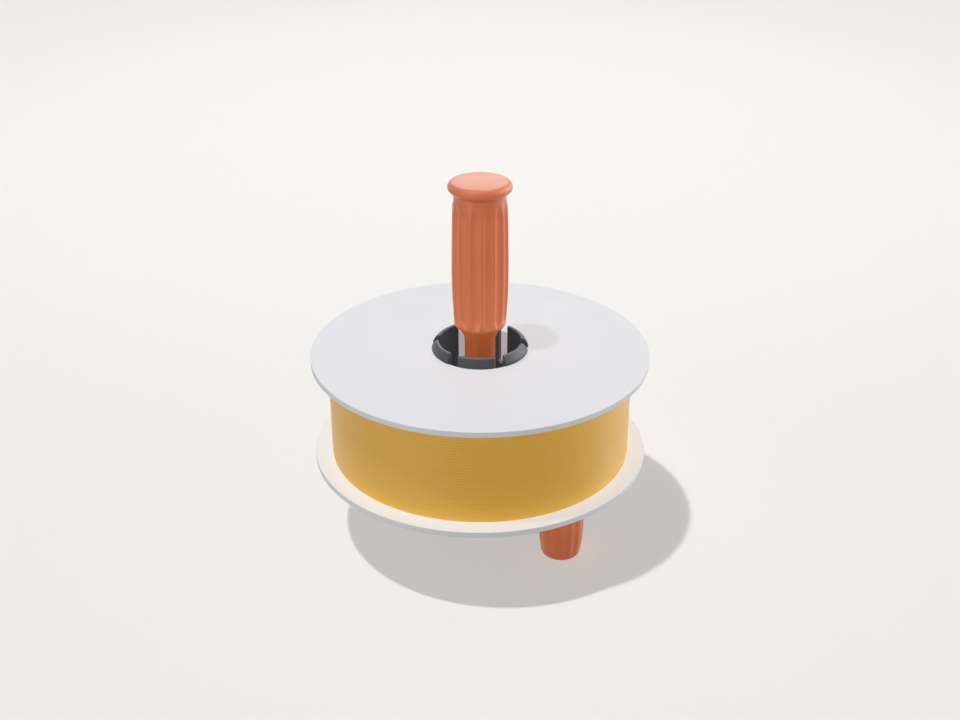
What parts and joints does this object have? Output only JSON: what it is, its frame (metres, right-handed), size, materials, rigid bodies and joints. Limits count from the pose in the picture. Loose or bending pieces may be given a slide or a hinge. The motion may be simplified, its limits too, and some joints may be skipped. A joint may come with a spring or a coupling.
{
  "type": "filament spool winder",
  "caption": "Hand-held winder: a fluted grip on an axle, a snap-in hub on ball bearings that holds a filament spool, and a crank arm with a turning knob.",
  "frame": {"origin": "middle of the hand grip's length, on the axle", "axes": "+Z runs along the axle towards the grip's end cap, -Y is the side that the picture shows, +X is to its right"},
  "size_m": [0.2, 0.2, 0.2255],
  "materials": {
    "orange_plastic": "moulded, fine satin",
    "grey_plastic": "moulded, fine satin",
    "plated_steel": "zinc plated",
    "bearing_steel": "ground and polished",
    "cage_steel": "pressed sheet",
    "shield_steel": "pressed sheet",
    "bush_bronze": "sintered",
    "white_plastic": "moulded, satin",
    "gold_filament": "drawn filament, soft gloss"
  },
  "bodies": {
    "handle": {"grip_body": "orange_plastic", "grip_end_cap": "orange_plastic", "axle_bolt": "plated_steel", "head_washer": "plated_steel", "upper_ring_spacer": "plated_steel", "upper_inner_ring": "bearing_steel", "bearing_spacer_tube": "plated_steel", "lower_inner_ring": "bearing_steel", "lower_ring_spacer": "plated_steel", "lock_nut": "plated_steel"},
    "rotor": {"hub_body": "grey_plastic", "snap_claw_front_right": "grey_plastic", "snap_claw_back_right": "grey_plastic", "snap_claw_back_left": "grey_plastic", "snap_claw_front_left": "grey_plastic", "upper_outer_ring": "bearing_steel", "upper_bearing_shields": "shield_steel", "lower_outer_ring": "bearing_steel", "lower_bearing_shields": "shield_steel", "crank_arm": "grey_plastic", "arm_screws": "plated_steel", "dust_cap": "grey_plastic", "knob_pin": "plated_steel", "knob_pin_nut": "plated_steel", "knob_washer": "plated_steel"},
    "upper_balls": {"upper_bearing_cage": "cage_steel", "upper_bearing_balls": "bearing_steel"},
    "lower_balls": {"lower_bearing_cage": "cage_steel", "lower_bearing_balls": "bearing_steel"},
    "knob": {"knob_body": "orange_plastic", "knob_upper_bush": "bush_bronze", "knob_lower_bush": "bush_bronze", "knob_plug": "orange_plastic"},
    "spool": {"spool_top_flange": "white_plastic", "spool_bottom_flange": "white_plastic", "spool_drum": "white_plastic", "filament_core": "gold_filament", "filament_outer_layer": "gold_filament"}
  },
  "joints": [
    {"name": "hub_spin", "type": "hinge", "parent": "handle", "child": "rotor", "pos_m": [0, 0, 0], "axis": [0, 0, 1], "continuous": true},
    {"name": "upper_cage_spin", "type": "hinge", "parent": "handle", "child": "upper_balls", "pos_m": [0, 0, 0], "axis": [0, 0, 1], "continuous": true},
    {"name": "lower_cage_spin", "type": "hinge", "parent": "handle", "child": "lower_balls", "pos_m": [0, 0, 0], "axis": [0, 0, 1], "continuous": true},
    {"name": "knob_spin", "type": "hinge", "parent": "rotor", "child": "knob", "pos_m": [0.04903, -0.03459, -0.15564], "axis": [0, 0, 1], "continuous": true},
    {"name": "spool_lift", "type": "slide", "parent": "rotor", "child": "spool", "axis": [0, 0, 1], "range_m": [0, 0.18], "deforming": ["snap_claw_front_right", "snap_claw_back_right", "snap_claw_back_left", "snap_claw_front_left"]}
  ],
  "couplings": [
    {"joint": "upper_cage_spin", "follows": "hub_spin", "ratio": 0.63227},
    {"joint": "lower_cage_spin", "follows": "hub_spin", "ratio": 0.63227}
  ]
}
